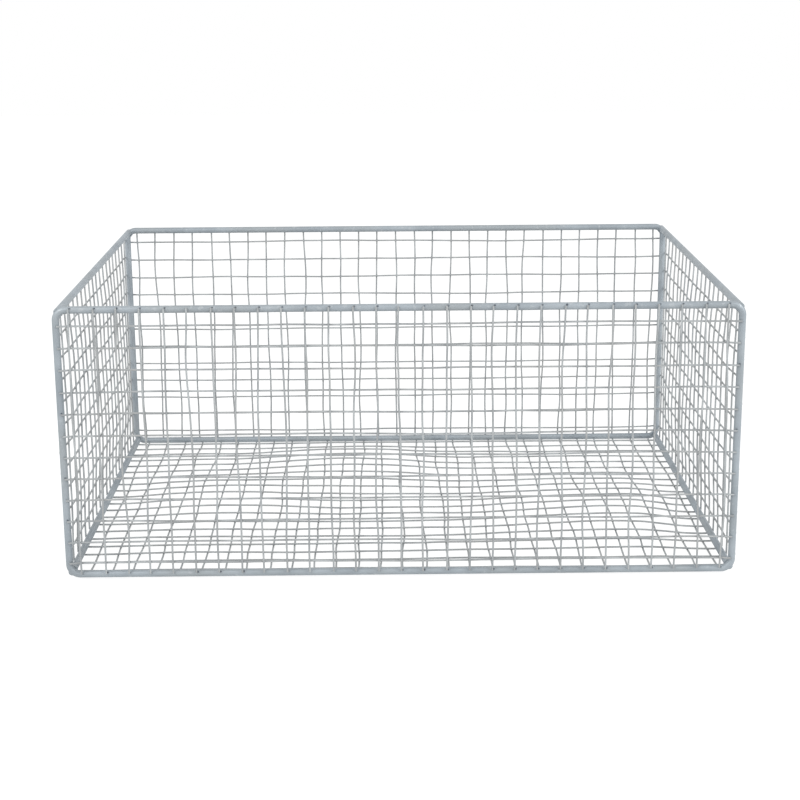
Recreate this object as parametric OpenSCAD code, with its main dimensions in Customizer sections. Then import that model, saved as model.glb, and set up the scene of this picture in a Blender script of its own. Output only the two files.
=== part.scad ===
// Wire locker basket: an open-topped basket of round steel rod, with wire mesh welded
// on the outsides of its four walls and its floor. Millimetres, +Z up, the front wall
// faces -Y, and the origin is under the middle of the basket, where it stands.

/* [Frame] */
// Width of the frame, over the outsides of its rods
frame_w = 557; // [360:1:720]
// Depth of the frame, over the outsides of its rods
frame_d = 408; // [260:1:560]
// Height of the frame, over the outsides of its rods
frame_h = 230; // [150:1:320]
// Diameter of the frame rods
rod_d = 6; // [4.5:0.1:7.5]
// Bend radius at the corners of the two rings, at the middle of the rod
ring_bend_r = 8.5; // [7.5:0.5:11]

/* [Mesh] */
// Diameter of the mesh wires
wire_d = 1.6; // [1:0.1:2]
// Target spacing of the wires that are counted across the width
width_pitch = 19; // [14:0.5:30]
// Target spacing of the wires that are counted from front to back
depth_pitch = 20; // [14:0.5:30]
// Length of wire left past the middle of a rod that it laps over, where it is trimmed
wire_end = 0.8; // [0.4:0.1:1.8]

/* [Places of the wires] */
// Front wall: from the end of the ring's bend to the outermost upright
front_upright_gap = 2.5; // [2.2:0.1:6]
// Back wall: from the end of the ring's bend to the outermost upright
back_upright_gap = 0.6; // [0.2:0.1:6]
// Side walls: from the middle of a ring's rod to the outermost upright
side_upright_margin = 11; // [5:0.5:16]
// Front and back walls: from the end of the ring's upper bend down to the highest level
end_top_gap = 4.3; // [0.2:0.1:14]
// Front and back walls: from the end of the ring's lower bend up to the lowest level
end_bottom_gap = 1.6; // [0.2:0.1:14]
// Side walls: from the end of the ring's upper bend down to the highest level
side_top_gap = 0.3; // [0.2:0.1:14]
// Side walls: from the end of the ring's lower bend up to the lowest level
side_bottom_gap = 2.5; // [0.2:0.1:14]
// How far the floor's wires are set off from the uprights that end beside them
floor_shift = 2.2; // [0:0.1:2.2]

/* [Hidden] */
level_count = 12;
function course_name(course) = str("level_wires_", course < 10 ? "0" : "", course);

rod_facets = 40;
wire_facets = 20;

// Radii of the rod and the wire, and from a rod's middle line to a wire welded on it
rod_r = rod_d / 2;
wire_r = wire_d / 2;
seat_r = rod_r + wire_r;

// Middle lines of the ring rods. The mesh under the floor touches the ground.
half_w = frame_w / 2 - rod_r;
half_d = frame_d / 2 - rod_r;
low_z = seat_r + wire_r;
high_z = low_z + frame_h - rod_d;

// The side rails sit one wire thickness inside the rings, so that the wires welded on
// the rails lie just inside the wires that cross them, which are welded on the rings.
rail_inset = wire_d;
rail_x = half_w - rail_inset;
rail_low_z = low_z + rail_inset;
rail_high_z = high_z - rail_inset;

// From the middle of a rod, along a wire that lies one wire thickness inside its outer
// face, to where the wire's end meets the rod's side
butt_gap = sqrt(pow(rod_r, 2) - pow(rod_r - wire_d, 2));

// Places of a row of wires, from the first to the last, at about the given pitch
function spread(first, last, pitch) =
    let (gaps = max(1, round((last - first) / pitch)))
    [for (i = [0:gaps]) first + (last - first) * i / gaps];

function upright_xs(gap) =
    let (outermost = half_w - ring_bend_r - gap)
    spread(-outermost, outermost, width_pitch);

front_xs = upright_xs(front_upright_gap);
back_xs = upright_xs(back_upright_gap);
side_ys = spread(side_upright_margin - half_d, half_d - side_upright_margin, depth_pitch);

// Height of a course of level wires, counted from 1 at the bottom
function level_z(course, bottom_gap, top_gap) =
    let (
        lowest = low_z + ring_bend_r + bottom_gap,
        highest = high_z - ring_bend_r - top_gap
    )
    lowest + (highest - lowest) * (course - 1) / (level_count - 1);

// Puts a flat shape in place: its +X points to "out", its +Y along "along"
module lay(out, along, at) {
    normal = cross(out, along);
    multmatrix([
        [out.x, along.x, normal.x, at.x],
        [out.y, along.y, normal.y, at.y],
        [out.z, along.z, normal.z, at.z],
        [0, 0, 0, 1]
    ])
        children();
}

// A straight round bar along +Y
module bar(d, length, facets) {
    rotate([-90, 0, 0])
        cylinder(d = d, h = length, $fn = facets);
}

// A round bar bent in an arc about the origin, in the XY plane
module bend(d, radius, start, turn, facets) {
    rotate([0, 0, start])
        rotate_extrude(angle = turn, $fn = facets)
            translate([radius, 0])
                circle(d = d, $fn = facets);
}

// The upper right bend of a ring, about its own centre
module ring_bend() {
    translate([half_w - ring_bend_r, (high_z - low_z) / 2 - ring_bend_r])
        bend(rod_d, ring_bend_r, 0, 90, rod_facets);
}

// One closed ring of rod with four bends, drawn flat about its own centre
module flat_ring() {
    half_h = (high_z - low_z) / 2;
    long_side = 2 * (half_w - ring_bend_r);
    short_side = 2 * (half_h - ring_bend_r);
    for (sx = [0, 1], sy = [0, 1])
        mirror([sx, 0, 0])
            mirror([0, sy, 0])
                ring_bend();
    for (s = [-1, 1]) {
        translate([s * half_w, -short_side / 2])
            bar(rod_d, short_side, rod_facets);
        translate([-long_side / 2, s * half_h])
            rotate([0, 0, -90])
                bar(rod_d, long_side, rod_facets);
    }
}

// Stands a ring or its bend upright at the front (-1) or the back (1)
module stand_ring(side) {
    lay([1, 0, 0], [0, 0, 1], [0, side * half_d, (low_z + high_z) / 2])
        children();
}

// A side rail runs from ring to ring. Its ends are coped to the rings' bends.
module side_rail(sx, sz) {
    difference() {
        translate([sx * rail_x, -half_d, sz > 0 ? rail_high_z : rail_low_z])
            bar(rod_d, 2 * half_d, rod_facets);
        for (side = [-1, 1])
            stand_ring(side)
                mirror([sx > 0 ? 0 : 1, 0, 0])
                    mirror([0, sz > 0 ? 0 : 1, 0])
                        ring_bend();
    }
}

// A mesh wire on the +X side of two rods, at y = 0 and at y = span. It is welded on
// their faces, and trimmed just past their middles.
module lapped_wire(span) {
    translate([seat_r, -wire_end])
        bar(wire_d, span + 2 * wire_end, wire_facets);
}

// A mesh wire that lies one wire thickness further in, so that its ends meet the sides
// of the two rods
module butted_wire(span) {
    translate([seat_r - wire_d, butt_gap])
        bar(wire_d, span - 2 * butt_gap, wire_facets);
}

// The upright wires of the front (-1) or back (1) wall, on the faces of the ring
module end_uprights(side, xs) {
    for (x = xs)
        lay([0, side, 0], [0, 0, 1], [x, side * half_d, low_z])
            lapped_wire(high_z - low_z);
}

// The upright wires of the left (-1) or right (1) wall, on the faces of its rails
module side_uprights(side) {
    for (y = side_ys)
        lay([side, 0, 0], [0, 0, 1], [side * rail_x, y, rail_low_z])
            lapped_wire(rail_high_z - rail_low_z);
}

// The four level wires of one course. Those of the front and back walls lie inside the
// uprights, and those of the side walls lie outside them, on the rings.
module level_wires(course) {
    end_z = level_z(course, end_bottom_gap, end_top_gap);
    side_z = level_z(course, side_bottom_gap, side_top_gap);
    for (side = [-1, 1]) {
        lay([0, side, 0], [1, 0, 0], [-half_w, side * half_d, end_z])
            butted_wire(2 * half_w);
        lay([side, 0, 0], [0, 1, 0], [side * half_w, -half_d, side_z])
            lapped_wire(2 * half_d);
    }
}

module front_ring() {
    color("lightsteelblue") stand_ring(-1) flat_ring();
}

module back_ring() {
    color("lightsteelblue") stand_ring(1) flat_ring();
}

module top_left_rail() {
    color("lightsteelblue") side_rail(-1, 1);
}

module top_right_rail() {
    color("lightsteelblue") side_rail(1, 1);
}

module bottom_left_rail() {
    color("lightsteelblue") side_rail(-1, -1);
}

module bottom_right_rail() {
    color("lightsteelblue") side_rail(1, -1);
}

module front_upright_wires() {
    color("darkgray") end_uprights(-1, front_xs);
}

module back_upright_wires() {
    color("darkgray") end_uprights(1, back_xs);
}

module left_upright_wires() {
    color("darkgray") side_uprights(-1);
}

module right_upright_wires() {
    color("darkgray") side_uprights(1);
}

// Floor wires from left to right, welded under the two lower side rails
module floor_cross_wires() {
    color("darkgray")
        for (y = side_ys)
            lay([0, 0, -1], [1, 0, 0], [-rail_x, y + floor_shift, rail_low_z])
                lapped_wire(2 * rail_x);
}

// Floor wires from front to back, welded under the rings, below the cross wires
module floor_depth_wires() {
    color("darkgray")
        for (x = front_xs)
            lay([0, 0, -1], [0, 1, 0], [x + floor_shift, -half_d, low_z])
                lapped_wire(2 * half_d);
}

module level_course(course) {
    color("darkgray") level_wires(course);
}

front_ring();
back_ring();
top_left_rail();
top_right_rail();
bottom_left_rail();
bottom_right_rail();
front_upright_wires();
back_upright_wires();
left_upright_wires();
right_upright_wires();
floor_cross_wires();
floor_depth_wires();
for (course = [1:level_count])
    level_course(course);
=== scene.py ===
import math
from collections import namedtuple
import bmesh
import bpy
from mathutils import Matrix, Vector


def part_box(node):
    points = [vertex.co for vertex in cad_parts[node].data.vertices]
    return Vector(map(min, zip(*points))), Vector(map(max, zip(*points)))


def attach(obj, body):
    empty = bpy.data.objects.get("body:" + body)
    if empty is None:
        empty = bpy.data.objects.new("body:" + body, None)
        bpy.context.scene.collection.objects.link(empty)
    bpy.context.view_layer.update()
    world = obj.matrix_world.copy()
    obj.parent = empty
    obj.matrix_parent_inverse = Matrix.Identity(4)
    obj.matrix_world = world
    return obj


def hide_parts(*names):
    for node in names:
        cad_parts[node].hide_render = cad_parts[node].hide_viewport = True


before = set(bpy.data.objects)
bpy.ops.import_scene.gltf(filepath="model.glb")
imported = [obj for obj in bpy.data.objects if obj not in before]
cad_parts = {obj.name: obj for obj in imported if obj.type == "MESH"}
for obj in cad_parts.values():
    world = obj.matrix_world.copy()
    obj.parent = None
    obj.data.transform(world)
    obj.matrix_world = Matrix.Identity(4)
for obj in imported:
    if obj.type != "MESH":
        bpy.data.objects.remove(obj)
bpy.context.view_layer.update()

BODY = "root"


# Camera: the photograph's view, from a metre and a half in front, looking down a little

LENS_MM = 76.64
SENSOR_MM = 36.0
NEAREST_SEEN = 0.05
CAMERA_PLACE = Vector((-0.0123, -1.5385, 0.5032))
CAMERA_TILT = math.radians(-14.717)
CAMERA_TURN = math.radians(-0.523)
CAMERA_ROLL = math.radians(0.368)


def add_camera():
    """A long lens at the photograph's place."""
    data = bpy.data.cameras.new("camera")
    data.lens = LENS_MM
    data.sensor_width = SENSOR_MM
    data.clip_start = NEAREST_SEEN
    camera = bpy.data.objects.new("camera", data)
    bpy.context.scene.collection.objects.link(camera)
    turn = Matrix.Rotation(CAMERA_TURN, 4, "Z")
    tilt = Matrix.Rotation(math.pi / 2 + CAMERA_TILT, 4, "X")
    roll = Matrix.Rotation(-CAMERA_ROLL, 4, "Z")
    camera.matrix_world = Matrix.Translation(CAMERA_PLACE) @ turn @ tilt @ roll
    bpy.context.scene.camera = camera


add_camera()


# Sizes of the frame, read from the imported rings, rails and wires, in metres

ring_low, ring_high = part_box("front_ring")
back_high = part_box("back_ring")[1]
rail_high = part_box("bottom_right_rail")[1]
cross_low, cross_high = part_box("floor_cross_wires")
deep_low, deep_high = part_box("floor_depth_wires")
front_low, front_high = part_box("front_upright_wires")
rear_low, rear_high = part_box("back_upright_wires")
side_low, side_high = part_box("right_upright_wires")
first_course_low, first_course_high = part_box("level_wires_01")
last_course_low, last_course_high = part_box("level_wires_12")

rod_r = (ring_high.y - ring_low.y) / 2
wire_d = cross_high.z - cross_low.z
wire_r = wire_d / 2
seat_r = rod_r + wire_r

# Middle lines of the rings, and how far inside them the side rails sit
half_w = ring_high.x - rod_r
half_d = back_high.y - rod_r
low_z = ring_low.z + rod_r
high_z = ring_high.z - rod_r
inset = half_w - (rail_high.x - rod_r)

width = 2 * half_w
depth = 2 * half_d
height = high_z - low_z

# Counts of wires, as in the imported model
WIRES_ACROSS = 29
WIRES_DEEP = 20
LEVELS = 12

Row = namedtuple("Row", ["first", "spacing", "count"])


def row_between(first, last, count):
    """Equally spaced wires, from the middle of the first to the middle of the last."""
    return Row(first, (last - first) / (count - 1), count)


# Places of the wires, across or up their panels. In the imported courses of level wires, those of
# the front and back walls are the lowest, and those of the side walls are the highest.
end_levels = row_between(
    first_course_low.z + wire_r - low_z, last_course_low.z + wire_r - low_z, LEVELS)
side_levels = row_between(
    first_course_high.z - wire_r - low_z, last_course_high.z - wire_r - low_z, LEVELS)
front_uprights = row_between(
    front_low.x + wire_r + half_w, front_high.x - wire_r + half_w, WIRES_ACROSS)
back_uprights = row_between(
    rear_low.x + wire_r + half_w, rear_high.x - wire_r + half_w, WIRES_ACROSS)
side_uprights = row_between(
    side_low.y + wire_r + half_d, side_high.y - wire_r + half_d, WIRES_DEEP)
floor_deep = row_between(
    deep_low.x + wire_r + half_w, deep_high.x - wire_r + half_w, WIRES_ACROSS)
floor_cross = row_between(
    half_d - cross_high.y + wire_r, half_d - cross_low.y - wire_r, WIRES_DEEP)


# Helpers that write node trees

class Graph:
    """Adds nodes to a tree and joins them up."""

    def __init__(self, tree):
        self.tree = tree

    def add(self, kind, inputs=None, **settings):
        """A new node with its settings, and its inputs linked or set by name or number."""
        node = self.tree.nodes.new(kind)
        for name, value in settings.items():
            setattr(node, name, value)
        for key, value in (inputs or {}).items():
            self.feed(node.inputs[key], value)
        return node

    def feed(self, target, value):
        """Links a socket to a number of the graph or another socket, or sets it to a value."""
        if isinstance(value, Number):
            self.tree.links.new(value.socket, target)
        elif isinstance(value, bpy.types.NodeSocket):
            self.tree.links.new(value, target)
        else:
            target.default_value = value

    def math(self, operation, *values):
        """A number worked out from one, two or three others."""
        node = self.add("ShaderNodeMath", dict(enumerate(values)), operation=operation)
        return Number(self, node.outputs[0])

    def smooth(self, value, start, end, low=0.0, high=1.0):
        """Goes from low to high as value goes from start to end, with soft ends."""
        inputs = {
            "Value": value, "From Min": start, "From Max": end, "To Min": low, "To Max": high,
        }
        node = self.add("ShaderNodeMapRange", inputs, interpolation_type="SMOOTHSTEP")
        return Number(self, node.outputs["Result"])

    def vector(self, x, y, z):
        return self.add("ShaderNodeCombineXYZ", {"X": x, "Y": y, "Z": z}).outputs[0]


class Number:
    """A socket of a graph that holds a number, and can be used in sums."""

    def __init__(self, graph, socket):
        self.graph = graph
        self.socket = socket

    def __add__(self, other):
        return self.graph.math("ADD", self, other)

    def __sub__(self, other):
        return self.graph.math("SUBTRACT", self, other)

    def __mul__(self, other):
        return self.graph.math("MULTIPLY", self, other)

    def __truediv__(self, other):
        return self.graph.math("DIVIDE", self, other)


SOCKET_KINDS = {
    "number": "NodeSocketFloat",
    "count": "NodeSocketInt",
    "choice": "NodeSocketBool",
    "vector": "NodeSocketVector",
    "colour": "NodeSocketColor",
    "material": "NodeSocketMaterial",
    "geometry": "NodeSocketGeometry",
}


def new_tree(name, kind, inputs, outputs):
    """A node tree with named sockets. Gives its graph, its input values and its output node."""
    tree = bpy.data.node_groups.new(name, kind)
    for side, sockets in (("INPUT", inputs), ("OUTPUT", outputs)):
        for socket_name, socket_kind in sockets:
            kind_name = SOCKET_KINDS[socket_kind]
            tree.interface.new_socket(socket_name, in_out=side, socket_type=kind_name)
    graph = Graph(tree)
    given = tree.nodes.new("NodeGroupInput")
    values = {name: Number(graph, given.outputs[name]) for name, _ in inputs}
    result = tree.nodes.new("NodeGroupOutput")
    return graph, values, result


# Materials: a thin satin coating on drawn steel, rubbed thin in small spots

# Where patches, tint, grain and worn spots start and are full, on noises from 0 to 1
PATCH_BAND = (0.35, 0.65)
TINT_BAND = (0.4, 0.7)
GRAIN_BAND = (0.3, 0.7)
SPOT_BAND = (0.66, 0.70)

TINT_PER_PATCH = 2.3
TINT_MOST = 0.7
SPOT_SIZE = 0.0045

# The rim and the base are rubbed more: heights about the rim and above the ground, and how much
RIM_BAND = (-0.004, 0.002)
BASE_BAND = (0.006, 0.001)
RUBBED_MORE = 0.07

WORN_GLOSS = 0.12
GRAIN_HEIGHT = 0.6
PATCH_HEIGHT = 0.4
WORN_DEPTH = 0.5
RELIEF_DEPTH = 0.0003
METALLIC = 0.35


def build_coating_group():
    """Colour, roughness and height of the coating."""
    inputs = [
        ("Light", "colour"), ("Dark", "colour"), ("Warm", "colour"),
        ("Worn", "colour"), ("Wear", "number"), ("Rim Height", "number"),
        ("Patch Size", "number"), ("Grain Size", "number"),
        ("Smooth", "number"), ("Rough", "number"),
    ]
    outputs = [("Colour", "colour"), ("Roughness", "number"), ("Height", "number")]
    graph, given, result = new_tree("satin_coating", "ShaderNodeTree", inputs, outputs)
    place = graph.add("ShaderNodeTexCoord").outputs["Object"]

    def noise_at(size, detail):
        scale = graph.math("DIVIDE", 1.0, size)
        settings = {"Vector": place, "Scale": scale, "Detail": detail}
        return Number(graph, graph.add("ShaderNodeTexNoise", settings).outputs[0])

    patches = graph.smooth(noise_at(given["Patch Size"], detail=2.0), *PATCH_BAND)
    tint_noise = noise_at(given["Patch Size"] * TINT_PER_PATCH, detail=1.0)
    tint = graph.smooth(tint_noise, *TINT_BAND, 0.0, TINT_MOST)
    grain = noise_at(given["Grain Size"], detail=4.0)

    # The coating is rubbed thin in spots, most of all along the rim and under the base
    height_here = Number(graph, graph.add("ShaderNodeSeparateXYZ", {0: place}).outputs["Z"])
    rim_start, rim_full = (given["Rim Height"] + edge for edge in RIM_BAND)
    rim = graph.smooth(height_here, rim_start, rim_full)
    base = graph.smooth(height_here, *BASE_BAND)
    rubbed = graph.math("MAXIMUM", rim, base) * RUBBED_MORE
    spots = graph.smooth(noise_at(SPOT_SIZE, detail=3.0) + rubbed, *SPOT_BAND)
    worn = spots * given["Wear"]

    def mixed(share, first, second):
        node = graph.add("ShaderNodeMix", {0: share, 6: first, 7: second}, data_type="RGBA")
        return node.outputs[2]

    warmed = mixed(tint, mixed(patches, given["Dark"], given["Light"]), given["Warm"])
    graph.feed(result.inputs["Colour"], mixed(worn, warmed, given["Worn"]))

    roughness = graph.smooth(grain, *GRAIN_BAND, given["Smooth"], given["Rough"])
    graph.feed(result.inputs["Roughness"], roughness - worn * WORN_GLOSS)
    relief = grain * GRAIN_HEIGHT + patches * PATCH_HEIGHT - worn * WORN_DEPTH
    graph.feed(result.inputs["Height"], relief)
    return graph.tree


coating_group = build_coating_group()


def coated_steel(name, look, relief):
    """The coating on steel, with its own colours and grain. Relief is the strength of its bump."""
    material = bpy.data.materials.new(name)
    material.use_nodes = True
    graph = Graph(material.node_tree)
    shader = material.node_tree.nodes["Principled BSDF"]
    coating = graph.add("ShaderNodeGroup", node_tree=coating_group)
    coating.inputs["Rim Height"].default_value = high_z
    for key, value in look.items():
        coating.inputs[key].default_value = value
    graph.feed(shader.inputs["Base Color"], coating.outputs["Colour"])
    graph.feed(shader.inputs["Roughness"], coating.outputs["Roughness"])
    shader.inputs["Metallic"].default_value = METALLIC
    settings = {"Height": coating.outputs["Height"], "Strength": relief, "Distance": RELIEF_DEPTH}
    bump = graph.add("ShaderNodeBump", settings)
    graph.feed(shader.inputs["Normal"], bump.outputs[0])
    return material


ROD_LOOK = {
    "Light": (0.375, 0.420, 0.455, 1.0),
    "Dark": (0.305, 0.345, 0.378, 1.0),
    "Warm": (0.340, 0.370, 0.385, 1.0),
    "Worn": (0.47, 0.50, 0.52, 1.0),
    "Wear": 0.45,
    "Patch Size": 0.030,
    "Grain Size": 0.0016,
    "Smooth": 0.42,
    "Rough": 0.60,
}
WIRE_LOOK = {
    "Light": (0.45, 0.475, 0.485, 1.0),
    "Dark": (0.33, 0.348, 0.358, 1.0),
    "Warm": (0.395, 0.405, 0.405, 1.0),
    "Worn": (0.52, 0.53, 0.53, 1.0),
    "Wear": 0.4,
    "Patch Size": 0.022,
    "Grain Size": 0.0008,
    "Smooth": 0.35,
    "Rough": 0.55,
}
# Dark colours of the marks that are painted shadow beside the wires' ends on the rods
SHADOW_MARK_LOOK = {
    "Light": (0.19, 0.22, 0.26, 1.0),
    "Dark": (0.10, 0.12, 0.15, 1.0),
    "Warm": (0.16, 0.17, 0.18, 1.0),
    "Worn": (0.20, 0.21, 0.22, 1.0),
    "Wear": 0.4,
    "Patch Size": 0.004,
    "Grain Size": 0.0006,
    "Smooth": 0.55,
    "Rough": 0.80,
}

rod_coating = coated_steel("rod_coating", ROD_LOOK, relief=0.25)
wire_coating = coated_steel("wire_coating", WIRE_LOOK, relief=0.2)
# The dark marks' coating is painted shadow
shadow_mark_coating = coated_steel("painted_shadow_marks", SHADOW_MARK_LOOK, relief=0.3)

FRAME_RODS = (
    "front_ring", "back_ring",
    "top_left_rail", "top_right_rail", "bottom_left_rail", "bottom_right_rail",
)


def paint_frame():
    """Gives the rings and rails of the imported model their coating."""
    for name in FRAME_RODS:
        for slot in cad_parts[name].material_slots:
            slot.material = rod_coating


# A sheet of mesh is never quite flat or square. All the wires that cross at a place of its
# panel are moved alike there, so that they keep touching.

HUMPS = ("Hump 1", "Hump 2", "Hump 3")

PANEL_INPUTS = [
    ("Width", "number"), ("Height", "number"),
    ("Sway", "number"), ("Drift", "number"), ("Swell", "number"), ("Seed", "number"),
]
PANEL_INPUTS += [(hump, "vector") for hump in HUMPS]
PANEL_INPUTS += [(hump + " Reach", "number") for hump in HUMPS]

# Lengths across a panel and up it over which the mesh wanders. Sway leans the uprights and drift
# dips the level wires, each with a quicker wave on top that has a smaller share.
SWAY_LENGTHS = (0.017, 0.120)
QUICK_SWAY_LENGTHS = (0.019, 0.045)
QUICK_SWAY = 0.45
DRIFT_LENGTHS = (0.130, 0.017)
QUICK_DRIFT_LENGTHS = (0.040, 0.019)
QUICK_DRIFT = 0.3
SWELL_LENGTHS = (0.110, 0.110)

# Turns noise, which is mostly near its middle of 0.5, into waves from about -1 to 1
NOISE_STRETCH = 2.6

# Distances from the rods at which each movement starts and is full. A wire's ends keep a share
# of its movement, and the wires next to a rod keep straight along it.
END_BAND = (0.0, 0.045)
END_SHARE = 0.45
STRAIGHT_BAND = (0.0, 0.009)
SWELL_BAND = (0.004, 0.060)


def build_wander_tree():
    """Works out how far the mesh is moved at a place of its panel: across, up and inwards."""
    inputs = [("Across", "number"), ("Up", "number")] + PANEL_INPUTS
    outputs = [("Shift Across", "number"), ("Shift Up", "number"), ("Inwards", "number")]
    graph, given, result = new_tree("mesh_wander", "GeometryNodeTree", inputs, outputs)

    across = given["Across"]
    up = given["Up"]
    far_across = given["Width"] - across
    far_up = given["Height"] - up

    def wave(lengths, salt, detail=0.0):
        """A smooth random number from -1 to 1. The salt only tells the waves apart."""
        place = graph.vector(across / lengths[0], up / lengths[1], salt)
        settings = {"Vector": place, "W": given["Seed"], "Scale": 1.0, "Detail": detail}
        noise = graph.add("ShaderNodeTexNoise", settings, noise_dimensions="4D").outputs[0]
        return graph.math("MULTIPLY_ADD", noise, NOISE_STRETCH, -NOISE_STRETCH / 2)

    def between(near, far, *band):
        """Grows with the distance from both of two facing rods."""
        return graph.smooth(near, *band) * graph.smooth(far, *band)

    # Uprights lean and bow one by one
    sway = wave(SWAY_LENGTHS, salt=0.0) + wave(QUICK_SWAY_LENGTHS, salt=5.0) * QUICK_SWAY
    hold_up = between(up, far_up, *END_BAND, END_SHARE, 1.0)
    shift_across = sway * given["Sway"] * hold_up * between(across, far_across, *STRAIGHT_BAND)

    # Level wires rise and dip one by one
    drift = wave(DRIFT_LENGTHS, salt=11.0) + wave(QUICK_DRIFT_LENGTHS, salt=17.0) * QUICK_DRIFT
    hold_across = between(across, far_across, *END_BAND, END_SHARE, 1.0)
    shift_up = drift * given["Drift"] * hold_across * between(up, far_up, *STRAIGHT_BAND)

    # The whole panel swells inwards between its rods, and has a few humps
    soft = wave(SWELL_LENGTHS, salt=23.0, detail=1.0) * 0.5 + 0.5
    swell = graph.math("MAXIMUM", soft, 0.0) * given["Swell"]
    for hump in HUMPS:
        split = graph.add("ShaderNodeSeparateXYZ", {0: given[hump]})
        hump_across, hump_up, rise = (Number(graph, part) for part in split.outputs)
        off_across = across - hump_across
        off_up = up - hump_up
        distance = graph.math("SQRT", off_across * off_across + off_up * off_up)
        swell = swell + graph.smooth(distance, 0.0, given[hump + " Reach"], 1.0, 0.0) * rise
    inwards = swell * between(across, far_across, *SWELL_BAND) * between(up, far_up, *SWELL_BAND)

    graph.feed(result.inputs["Shift Across"], shift_across)
    graph.feed(result.inputs["Shift Up"], shift_up)
    graph.feed(result.inputs["Inwards"], inwards)
    return graph.tree


wander_tree = build_wander_tree()


def place_on_panel(graph, given, along, place, out):
    """A point of a wire, at a length along it, moved as the mesh is moved there."""
    def pick(when_level, when_upright):
        settings = {"Switch": given["Runs Level"], "False": when_upright, "True": when_level}
        node = graph.add("GeometryNodeSwitch", settings, input_type="FLOAT")
        return Number(graph, node.outputs[0])

    panel = {name: given[name] for name, _ in PANEL_INPUTS}
    panel["Across"] = pick(along, place)
    panel["Up"] = pick(place, along)
    wander = graph.add("GeometryNodeGroup", node_tree=wander_tree)
    for name, value in panel.items():
        graph.feed(wander.inputs[name], value)
    moved_across = panel["Across"] + Number(graph, wander.outputs["Shift Across"])
    moved_up = panel["Up"] + Number(graph, wander.outputs["Shift Up"])
    return graph.vector(moved_across, moved_up, out - Number(graph, wander.outputs["Inwards"]))


# Mesh wires, made by a Geometry Nodes tree

POINT_SPACING = 0.004
WIRE_SIDES = 10

# Past the middle of a rod, where an inner wire starts and ends its step in
STEP_BAND = (0.0026, 0.0085)

WIRE_INPUTS = [
    ("Wire Count", "count"), ("First Wire", "count"),
    ("First Place", "number"), ("Spacing", "number"),
    ("Start", "number"), ("Span", "number"), ("Rod Depth", "number"), ("Step In", "number"),
    ("Runs Level", "choice"), ("Wire Radius", "number"), ("Seat", "number"),
    ("First End", "number"), ("Last End", "number"), ("Uneven Ends", "number"),
    ("Point Spacing", "number"), ("Material", "material"),
]


def build_wire_tree():
    """A row of mesh wires between two rods, each trimmed where it laps over their faces.
    Places are in the panel's own frame: X across it, Y up it, and Z outwards."""
    inputs = WIRE_INPUTS + PANEL_INPUTS
    outputs = [("Wires", "geometry")]
    graph, given, result = new_tree("laid_wires", "GeometryNodeTree", inputs, outputs)

    # One line of points for each wire
    steps = graph.math("CEIL", given["Span"] / given["Point Spacing"])
    line = graph.add("GeometryNodeCurvePrimitiveLine")
    settings = {"Curve": line.outputs[0], "Count": steps + 1.0}
    points = graph.add("GeometryNodeResampleCurve", settings)
    settings = {"Geometry": points.outputs[0], "Amount": given["Wire Count"]}
    copies = graph.add("GeometryNodeDuplicateElements", settings, domain="SPLINE")
    wire = Number(graph, copies.outputs["Duplicate Index"]) + given["First Wire"]
    point = Number(graph, graph.add("GeometryNodeSplineParameter").outputs["Index"])
    share = point / steps

    # The wire runs from a little before its first rod to a little past its second
    def trimmed_end(name, salt):
        settings = {"Min": 0.0, "Max": given["Uneven Ends"], "ID": wire, "Seed": salt}
        node = graph.add("FunctionNodeRandomValue", settings, data_type="FLOAT")
        return given[name] + Number(graph, node.outputs[1])

    first_end = trimmed_end("First End", salt=3)
    last_end = trimmed_end("Last End", salt=8)
    run = share * (given["Span"] + first_end + last_end) - first_end
    along = given["Start"] + run
    place = given["First Place"] + wire * given["Spacing"]

    # Between its rods, an inner wire lies one wire thickness further in than on them
    near = graph.smooth(run, *STEP_BAND)
    far = graph.smooth(given["Span"] - run, *STEP_BAND)
    outwards = given["Rod Depth"] + given["Seat"] - near * far * given["Step In"]

    position = place_on_panel(graph, given, along, place, outwards)
    settings = {"Geometry": copies.outputs[0], "Position": position}
    placed = graph.add("GeometryNodeSetPosition", settings)
    settings = {"Resolution": WIRE_SIDES, "Radius": given["Wire Radius"]}
    profile = graph.add("GeometryNodeCurvePrimitiveCircle", settings, mode="RADIUS")
    settings = {
        "Curve": placed.outputs[0], "Profile Curve": profile.outputs[0], "Fill Caps": True,
    }
    tube = graph.add("GeometryNodeCurveToMesh", settings)

    # The sides of the wire, which have four corners, are shaded round, and its cut ends flat
    corners = graph.add("GeometryNodeInputMeshFaceNeighbors").outputs["Vertex Count"]
    settings = {"A": corners, "B": 4}
    sides = graph.add("FunctionNodeCompare", settings, data_type="INT", operation="EQUAL")
    settings = {"Geometry": tube.outputs[0], "Shade Smooth": sides.outputs[0]}
    smooth = graph.add("GeometryNodeSetShadeSmooth", settings)
    real = graph.add("GeometryNodeRealizeInstances", {"Geometry": smooth.outputs[0]})
    settings = {"Geometry": real.outputs[0], "Material": given["Material"]}
    painted = graph.add("GeometryNodeSetMaterial", settings)
    graph.feed(result.inputs["Wires"], painted.outputs[0])
    return graph.tree


# Small dark marks beside the wires' ends, painted shadow where the wires' ends shade the rods, and
# beads round the rails' ends

LUMP_SEGMENTS = 8
LUMP_RINGS = 5
SMALLEST_LUMP = (0.6, 0.6, 0.6)
LARGEST_LUMP = (1.1, 1.1, 1.1)

MARK_INPUTS = [
    ("Wire Count", "count"), ("First Place", "number"), ("Spacing", "number"),
    ("Beside", "number"), ("Along", "number"), ("Out", "number"), ("Runs Level", "choice"),
    ("Mark Radius", "number"), ("Share", "number"), ("Salt", "count"), ("Material", "material"),
]


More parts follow.
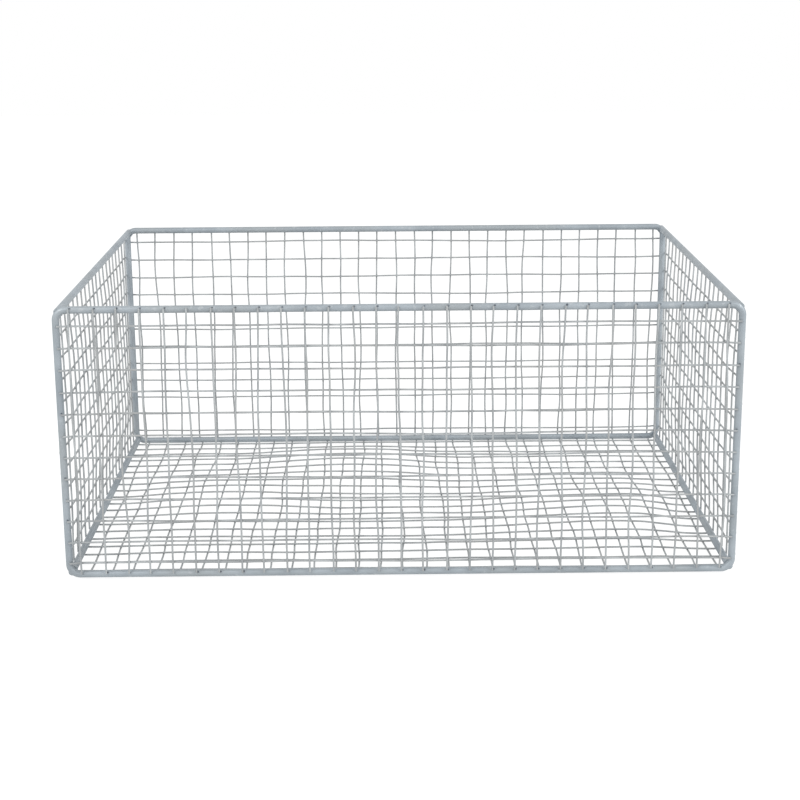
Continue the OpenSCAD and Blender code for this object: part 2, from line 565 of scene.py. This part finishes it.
def lumps(graph, points, radius, share, salt, material):
    """Small rounded lumps of uneven size on a share of these points."""
    settings = {"Segments": LUMP_SEGMENTS, "Rings": LUMP_RINGS, "Radius": radius}
    lump = graph.add("GeometryNodeMeshUVSphere", settings)
    settings = {"Probability": share, "Seed": salt}
    kept = graph.add("FunctionNodeRandomValue", settings, data_type="BOOLEAN")
    settings = {0: SMALLEST_LUMP, 1: LARGEST_LUMP, "Seed": salt}
    scale = graph.add("FunctionNodeRandomValue", settings, data_type="FLOAT_VECTOR")
    copies = graph.add("GeometryNodeInstanceOnPoints", {
        "Points": points, "Selection": kept.outputs[3],
        "Instance": lump.outputs[0], "Scale": scale.outputs[0],
    })
    real = graph.add("GeometryNodeRealizeInstances", {"Geometry": copies.outputs[0]})
    smooth = graph.add("GeometryNodeSetShadeSmooth", {"Geometry": real.outputs[0]})
    settings = {"Geometry": smooth.outputs[0], "Material": material}
    return graph.add("GeometryNodeSetMaterial", settings).outputs[0]


def build_mark_tree():
    """A row of dark marks on one rod, each beside the end of a wire: painted shadow where the wire
    shades the rod.
    """
    inputs = MARK_INPUTS + PANEL_INPUTS
    outputs = [("Marks", "geometry")]
    graph, given, result = new_tree("painted_shadow_marks", "GeometryNodeTree", inputs, outputs)
    wire = Number(graph, graph.add("GeometryNodeInputIndex").outputs[0])
    place = given["First Place"] + wire * given["Spacing"] + given["Beside"]
    position = place_on_panel(graph, given, given["Along"], place, given["Out"])
    settings = {"Count": given["Wire Count"], "Position": position}
    points = graph.add("GeometryNodePoints", settings)
    look = (given["Mark Radius"], given["Share"], given["Salt"], given["Material"])
    graph.feed(result.inputs["Marks"], lumps(graph, points.outputs[0], *look))
    return graph.tree


def build_bead_tree():
    """Weld beads in a circle round the end of a rail that runs along Y."""
    inputs = [
        ("Centre", "vector"), ("Circle Radius", "number"), ("Bead Radius", "number"),
        ("Bead Count", "count"), ("Uneven", "number"), ("Salt", "count"),
        ("Material", "material"),
    ]
    outputs = [("Beads", "geometry")]
    graph, given, result = new_tree("rail_beads", "GeometryNodeTree", inputs, outputs)
    bead = Number(graph, graph.add("GeometryNodeInputIndex").outputs[0])
    turn = bead * 2.0 * math.pi / given["Bead Count"]
    settings = {"Min": given["Uneven"] * -1.0, "Max": given["Uneven"], "Seed": given["Salt"]}
    uneven = graph.add("FunctionNodeRandomValue", settings, data_type="FLOAT")
    across = graph.math("COSINE", turn) * given["Circle Radius"]
    up = graph.math("SINE", turn) * given["Circle Radius"]
    offset = graph.vector(across, uneven.outputs[1], up)
    settings = {0: given["Centre"], 1: offset}
    position = graph.add("ShaderNodeVectorMath", settings, operation="ADD")
    settings = {"Count": given["Bead Count"], "Position": position.outputs[0]}
    points = graph.add("GeometryNodePoints", settings)
    look = (given["Bead Radius"], 1.0, given["Salt"], given["Material"])
    graph.feed(result.inputs["Beads"], lumps(graph, points.outputs[0], *look))
    return graph.tree


wire_tree = build_wire_tree()
mark_tree = build_mark_tree()
bead_tree = build_bead_tree()


def plain_mesh(name, tree, settings):
    """The mesh that a tree makes with these named inputs, as plain geometry."""
    maker = bpy.data.objects.new(name, bpy.data.meshes.new(name))
    bpy.context.scene.collection.objects.link(maker)
    modifier = maker.modifiers.new("nodes", "NODES")
    modifier.node_group = tree
    for item in tree.interface.items_tree:
        if item.item_type == "SOCKET" and item.in_out == "INPUT" and item.name in settings:
            modifier[item.identifier] = settings[item.name]
    graph = bpy.context.evaluated_depsgraph_get()
    mesh = bpy.data.meshes.new_from_object(maker.evaluated_get(graph))
    bpy.data.objects.remove(maker)
    return mesh


# The five panels of mesh: the walls seen from outside, and the floor seen from below

class Panel:
    """A wall or the floor, in its own frame, with what its two rows of wires share."""

    def __init__(self, corner, across, up, size, seed, look):
        across = Vector(across)
        up = Vector(up)
        out = across.cross(up)
        turn = Matrix((across, up, out)).transposed().to_4x4()
        self.matrix = Matrix.Translation(corner) @ turn
        self.look = {"Width": size[0], "Height": size[1], "Seed": seed, **look}

    def made(self, name, tree, row):
        """What a tree makes of a row on this panel, in the basket's frame."""
        mesh = plain_mesh(name, tree, {**self.look, **row})
        mesh.transform(self.matrix)
        return mesh


# How far the wires of a panel wander. A hump is a place of the panel and a rise.
WALL_LOOK = {"Sway": 0.0025, "Drift": 0.0012, "Swell": 0.0020}
SIDE_LOOK = {"Sway": 0.0025, "Drift": 0.0012, "Swell": 0.0045}
FLOOR_LOOK = {
    "Sway": 0.0026, "Drift": 0.0023, "Swell": 0.0020,
    "Hump 1": (0.222, 0.085, 0.0060), "Hump 1 Reach": 0.125,
    "Hump 2": (0.460, 0.250, 0.0055), "Hump 2 Reach": 0.150,
    "Hump 3": (0.120, 0.190, 0.0040), "Hump 3 Reach": 0.130,
}

RIGHT, LEFT = (1, 0, 0), (-1, 0, 0)
BACK, FRONT = (0, 1, 0), (0, -1, 0)
UP = (0, 0, 1)


def build_panels():
    """Each panel from its own lower left corner."""
    end_size = (width, height)
    side_size = (depth, height)
    front_left = (-half_w, -half_d, low_z)
    front_right = (half_w, -half_d, low_z)
    back_right = (half_w, half_d, low_z)
    back_left = (-half_w, half_d, low_z)
    return {
        "front": Panel(front_left, RIGHT, UP, end_size, seed=1.3, look=WALL_LOOK),
        "right": Panel(front_right, BACK, UP, side_size, seed=2.9, look=SIDE_LOOK),
        "back": Panel(back_right, LEFT, UP, end_size, seed=4.1, look=WALL_LOOK),
        "left": Panel(back_left, FRONT, UP, side_size, seed=6.7, look=SIDE_LOOK),
        "floor": Panel(back_left, RIGHT, FRONT, (width, depth), seed=8.2, look=FLOOR_LOOK),
    }


# Lengths left past the middle of a rod where a wire is trimmed, first and last end of a row.
# The ends of the side walls and the floor are shorter, and are tucked in behind the rods.
UNEVEN_ENDS = 0.0008
FRONT_UPRIGHT_ENDS = (-0.0018, 0.0010)
BACK_UPRIGHT_ENDS = (0.0002, 0.0006)
END_LEVEL_ENDS = (-0.0012, -0.0012)
SIDE_UPRIGHT_ENDS = (0.0002, -0.0014)
RIGHT_LEVEL_ENDS = (-0.0026, -0.0026)
LEFT_LEVEL_ENDS = (-0.0034, -0.0034)
FLOOR_DEEP_ENDS = (-0.0034, -0.0034)
FLOOR_CROSS_ENDS = (-0.0010, -0.0010)
RIGHT_TUCK = 0.0009
LEFT_TUCK = 0.0011
FLOOR_TUCK = 0.0011


def row_of_wires(row, start, span, rod_depth, step_in, level, ends):
    """The named inputs of one row of wires, for the laid_wires tree."""
    return {
        "Wire Count": row.count, "First Wire": 0,
        "First Place": row.first, "Spacing": row.spacing,
        "Start": start, "Span": span, "Rod Depth": rod_depth, "Step In": step_in,
        "Runs Level": level, "Wire Radius": wire_r, "Seat": seat_r,
        "First End": ends[0], "Last End": ends[1], "Uneven Ends": UNEVEN_ENDS,
        "Point Spacing": POINT_SPACING, "Material": wire_coating,
    }


def uprights(row, ends, side_wall=False):
    """Upright wires on the outer faces of the rings' level rods, or of a side wall's rails."""
    back = inset if side_wall else 0.0
    return row_of_wires(row, back, height - 2 * back, -back, 0.0, False, ends)


def tucked(row, span, tuck, level, ends):
    """Wires that are welded on the rings, with their ends tucked in behind the rods."""
    return row_of_wires(row, 0.0, span, -tuck, -tuck, level, ends)


def panel_rows():
    """For each panel its two rows of wires: uprights, or from front to back, and then level."""
    end_level_row = row_of_wires(end_levels, 0.0, width, 0.0, wire_d, True, END_LEVEL_ENDS)
    side_upright_row = uprights(side_uprights, SIDE_UPRIGHT_ENDS, side_wall=True)
    cross_span = width - 2 * inset
    cross_row = row_of_wires(floor_cross, inset, cross_span, -inset, 0.0, True, FLOOR_CROSS_ENDS)
    return {
        "front": (uprights(front_uprights, FRONT_UPRIGHT_ENDS), end_level_row),
        "back": (uprights(back_uprights, BACK_UPRIGHT_ENDS), end_level_row),
        "right": (
            side_upright_row,
            tucked(side_levels, depth, RIGHT_TUCK, True, RIGHT_LEVEL_ENDS),
        ),
        "left": (
            side_upright_row,
            tucked(side_levels, depth, LEFT_TUCK, True, LEFT_LEVEL_ENDS),
        ),
        "floor": (tucked(floor_deep, depth, FLOOR_TUCK, False, FLOOR_DEEP_ENDS), cross_row),
    }


# Dark marks of painted shadow: their radius, how far beside a wire and past the middle of a rod
# they lie, and what share of the wires has one
MARK_RADIUS = 0.00095
MARK_BESIDE = 0.0011
FRONT_TOP_PAST = 0.0016
BACK_TOP_PAST = 0.0010
BOTTOM_PAST = 0.0018
SIDE_PAST = 0.0010
ALONG_THE_RIM = 0.9
ON_OTHER_RODS = 0.6
ON_UPRIGHT_RODS = 0.35

# Weld beads round the ends of the side rails. They are shifted towards the inside of the corner,
# where they show, and the outer ones are sunk in the rail.
BEAD_RADIUS = 0.0011
BEAD_COUNT = 16
BEAD_FROM_RING = 0.0026
BEAD_SHIFT = 0.0009
BEAD_SUNK = 0.35
BEAD_UNEVEN = 0.0004


def row_of_marks(row, along, past, level, share, salt):
    """The named inputs of a row of dark marks of painted shadow, on a rod's face a little past its
    middle.
    """
    return {
        "Wire Count": row.count, "First Place": row.first, "Spacing": row.spacing,
        "Beside": MARK_BESIDE, "Along": along + past, "Out": math.sqrt(rod_r ** 2 - past ** 2),
        "Runs Level": level, "Mark Radius": MARK_RADIUS, "Share": share, "Salt": salt,
        "Material": shadow_mark_coating,
    }


def mark_rows():
    """The rows of dark marks of painted shadow on the front and back rings."""
    return {
        "front": (
            row_of_marks(front_uprights, height, FRONT_TOP_PAST, False, ALONG_THE_RIM, salt=1),
            row_of_marks(front_uprights, 0.0, BOTTOM_PAST, False, ON_OTHER_RODS, salt=2),
            row_of_marks(end_levels, 0.0, SIDE_PAST, True, ON_UPRIGHT_RODS, salt=3),
            row_of_marks(end_levels, width, -SIDE_PAST, True, ON_UPRIGHT_RODS, salt=4),
        ),
        "back": (
            row_of_marks(back_uprights, height, BACK_TOP_PAST, False, ON_OTHER_RODS, salt=5),
            row_of_marks(back_uprights, 0.0, BOTTOM_PAST, False, ON_OTHER_RODS, salt=6),
        ),
    }


def joined(name, meshes):
    """One mesh from several that share a material."""
    whole = bmesh.new()
    for mesh in meshes:
        whole.from_mesh(mesh)
    result = bpy.data.meshes.new(name)
    whole.to_mesh(result)
    whole.free()
    for material in meshes[0].materials:
        result.materials.append(material)
    return result


def add_piece(name, mesh, replaced=()):
    """Puts a finished mesh in the scene, on the basket's one body."""
    piece = bpy.data.objects.new(name, mesh)
    bpy.context.scene.collection.objects.link(piece)
    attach(piece, BODY)
    if replaced:
        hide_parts(*replaced)


def add_wires(node, mesh):
    """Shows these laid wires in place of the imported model's straight ones."""
    add_piece(node + "_laid", mesh, [node])


def add_mesh():
    """The floor, the uprights of each wall, and the twelve courses of level wires."""
    panels = build_panels()
    rows = panel_rows()
    deep, cross = rows.pop("floor")
    for node, row in (("floor_depth_wires", deep), ("floor_cross_wires", cross)):
        add_wires(node, panels["floor"].made(node, wire_tree, row))
    for wall, (upright_row, _) in rows.items():
        node = wall + "_upright_wires"
        add_wires(node, panels[wall].made(node, wire_tree, upright_row))
    for course in range(LEVELS):
        node = f"level_wires_{course + 1:02d}"
        one = {"First Wire": course, "Wire Count": 1}
        meshes = []
        for wall, (_, level_row) in rows.items():
            meshes.append(panels[wall].made(node, wire_tree, {**level_row, **one}))
        add_wires(node, joined(node, meshes))
    # Dark marks on the rings, painted shadow beside the wires' ends
    for wall, marks in mark_rows().items():
        name = wall + "_ring_painted_shadow_marks"
        meshes = [panels[wall].made(name, mark_tree, row) for row in marks]
        add_piece(name, joined(name, meshes))


def add_rail_beads():
    """Weld beads where the four side rails meet the two rings."""
    meshes = []
    inside = inset + BEAD_SHIFT
    levels = (low_z + inside, high_z - inside)
    joints = [(x, y, z) for x in (-1, 1) for y in (-1, 1) for z in levels]
    for salt, (side, end, z) in enumerate(joints):
        meshes.append(plain_mesh("rail_beads", bead_tree, {
            "Centre": (side * (half_w - inside), end * (half_d - BEAD_FROM_RING), z),
            "Circle Radius": rod_r - BEAD_RADIUS * BEAD_SUNK, "Bead Radius": BEAD_RADIUS,
            "Bead Count": BEAD_COUNT, "Uneven": BEAD_UNEVEN, "Salt": salt,
            "Material": rod_coating,
        }))
    add_piece("rail_weld_beads", joined("rail_beads", meshes))


# Stage and light

FLOOR_SIZE = 8.0
SHADOW_DEPTH = 0.30
FLOOR_GREY = (0.80, 0.80, 0.80, 1.0)
WHITE = (1.0, 1.0, 1.0, 1.0)
ROOM_LIGHT = 0.62

# Lamps: a large one in front, above and to the left, and a weaker one to the right
LAMPS_AIM = (0.0, 0.0, 0.1)
LAMPS = {
    "key": {"place": (-1.9, -1.6, 1.7), "size": 1.8, "power": 36.0},
    "fill": {"place": (2.1, -1.2, 1.2), "size": 1.6, "power": 32.0},
}


def seen_directly(graph):
    """Is one for the rays that should find plain white: the camera's, and of gloss and glass."""
    path = graph.add("ShaderNodeLightPath")
    seen = graph.math("MAXIMUM", path.outputs["Is Camera Ray"], path.outputs["Is Glossy Ray"])
    return graph.math("MAXIMUM", seen, path.outputs["Is Transmission Ray"])


def add_stage():
    """A plain pale floor, which looks white but keeps a faint shadow of the basket."""
    mesh = bpy.data.meshes.new("floor")
    half = FLOOR_SIZE / 2
    corners = [(-half, -half, 0.0), (half, -half, 0.0), (half, half, 0.0), (-half, half, 0.0)]
    mesh.from_pydata(corners, [], [(0, 1, 2, 3)])
    floor = bpy.data.objects.new("floor", mesh)
    bpy.context.scene.collection.objects.link(floor)
    material = bpy.data.materials.new("pale_floor")
    material.use_nodes = True
    tree = material.node_tree
    tree.nodes.clear()
    graph = Graph(tree)
    plain = graph.add("ShaderNodeBsdfDiffuse", {"Color": FLOOR_GREY})
    shadow_grey = (SHADOW_DEPTH, SHADOW_DEPTH, SHADOW_DEPTH, 1.0)
    shaded = graph.add("ShaderNodeBsdfDiffuse", {"Color": shadow_grey})
    settings = {"Color": WHITE, "Strength": 1.0 - SHADOW_DEPTH / 2}
    glow = graph.add("ShaderNodeEmission", settings)
    bright = graph.add("ShaderNodeAddShader", {0: shaded.outputs[0], 1: glow.outputs[0]})
    settings = {0: seen_directly(graph), 1: plain.outputs[0], 2: bright.outputs[0]}
    mix = graph.add("ShaderNodeMixShader", settings)
    output = graph.add("ShaderNodeOutputMaterial")
    graph.feed(output.inputs["Surface"], mix.outputs[0])
    mesh.materials.append(material)


def add_world():
    """An even white room: plain white to the camera, softer as a light."""
    world = bpy.data.worlds.new("studio")
    bpy.context.scene.world = world
    world.use_nodes = True
    tree = world.node_tree
    tree.nodes.clear()
    graph = Graph(tree)
    soft = graph.add("ShaderNodeBackground", {"Color": WHITE, "Strength": ROOM_LIGHT})
    plain = graph.add("ShaderNodeBackground", {"Color": WHITE, "Strength": 1.0})
    settings = {0: seen_directly(graph), 1: soft.outputs[0], 2: plain.outputs[0]}
    mix = graph.add("ShaderNodeMixShader", settings)
    output = graph.add("ShaderNodeOutputWorld")
    graph.feed(output.inputs["Surface"], mix.outputs[0])


def add_lights():
    """Soft square lamps that face the basket."""
    for name, lamp in LAMPS.items():
        data = bpy.data.lights.new(name, "AREA")
        data.size = lamp["size"]
        data.energy = lamp["power"]
        light = bpy.data.objects.new(name, data)
        bpy.context.scene.collection.objects.link(light)
        place = Vector(lamp["place"])
        facing = (Vector(LAMPS_AIM) - place).to_track_quat("-Z", "Y")
        light.matrix_world = Matrix.Translation(place) @ facing.to_matrix().to_4x4()


paint_frame()
add_mesh()
add_rail_beads()

add_stage()
add_world()
add_lights()

scene = bpy.context.scene
scene.view_settings.view_transform = "Standard"

bpy.context.view_layer.update()
